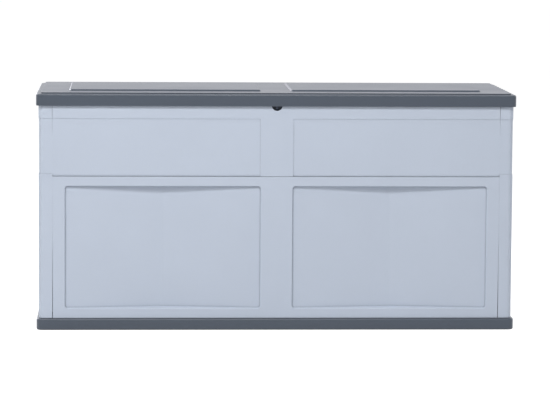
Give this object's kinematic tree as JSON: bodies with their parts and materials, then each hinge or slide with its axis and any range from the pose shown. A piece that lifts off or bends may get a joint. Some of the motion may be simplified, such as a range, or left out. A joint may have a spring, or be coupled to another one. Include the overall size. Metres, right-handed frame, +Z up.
{
  "type": "garden storage box",
  "caption": "Long outdoor storage box: hinged stepped lid with padlock eye, two-tier moulded walls with folded recesses, hand grips and a ribbed base tray.",
  "frame": {"origin": "centre of the footprint on the ground, under the base tray", "axes": "+X along the box towards its right end as seen from the front, the front faces -Y, +Z up"},
  "size_m": [1.19, 0.46, 0.5936],
  "materials": {
    "wall_resin": "fine satin grain, light blue-grey",
    "dark_resin": "satin, dark grey",
    "fitting_resin": "satin black",
    "pin_steel": "bright drawn wire",
    "screw_steel": "zinc plated",
    "peg_resin": "satin grey"
  },
  "bodies": {
    "box": {"base_tray": "dark_resin", "front_lower_panel": "wall_resin", "front_upper_panel": "wall_resin", "back_lower_panel": "wall_resin", "back_upper_panel": "wall_resin", "left_lower_side": "wall_resin", "left_upper_side": "wall_resin", "right_lower_side": "wall_resin", "right_upper_side": "wall_resin", "left_box_leaf": "fitting_resin", "centre_box_leaf": "fitting_resin", "right_box_leaf": "fitting_resin", "left_hinge_pin": "pin_steel", "centre_hinge_pin": "pin_steel", "right_hinge_pin": "pin_steel", "hinge_box_screws": "screw_steel", "corner_screws": "screw_steel", "foot_screws": "screw_steel", "seam_pegs": "peg_resin"},
    "lid": {"lid_shell": "dark_resin", "lock_eye": "fitting_resin", "left_lid_leaf": "fitting_resin", "centre_lid_leaf": "fitting_resin", "right_lid_leaf": "fitting_resin", "hinge_lid_screws": "screw_steel", "lock_eye_screws": "screw_steel"}
  },
  "joints": [
    {"name": "lid_hinge", "type": "hinge", "parent": "box", "child": "lid", "pos_m": [0, 0.2225, 0.5605], "axis": [-1, 0, 0], "range_deg": [0, 98]}
  ]
}
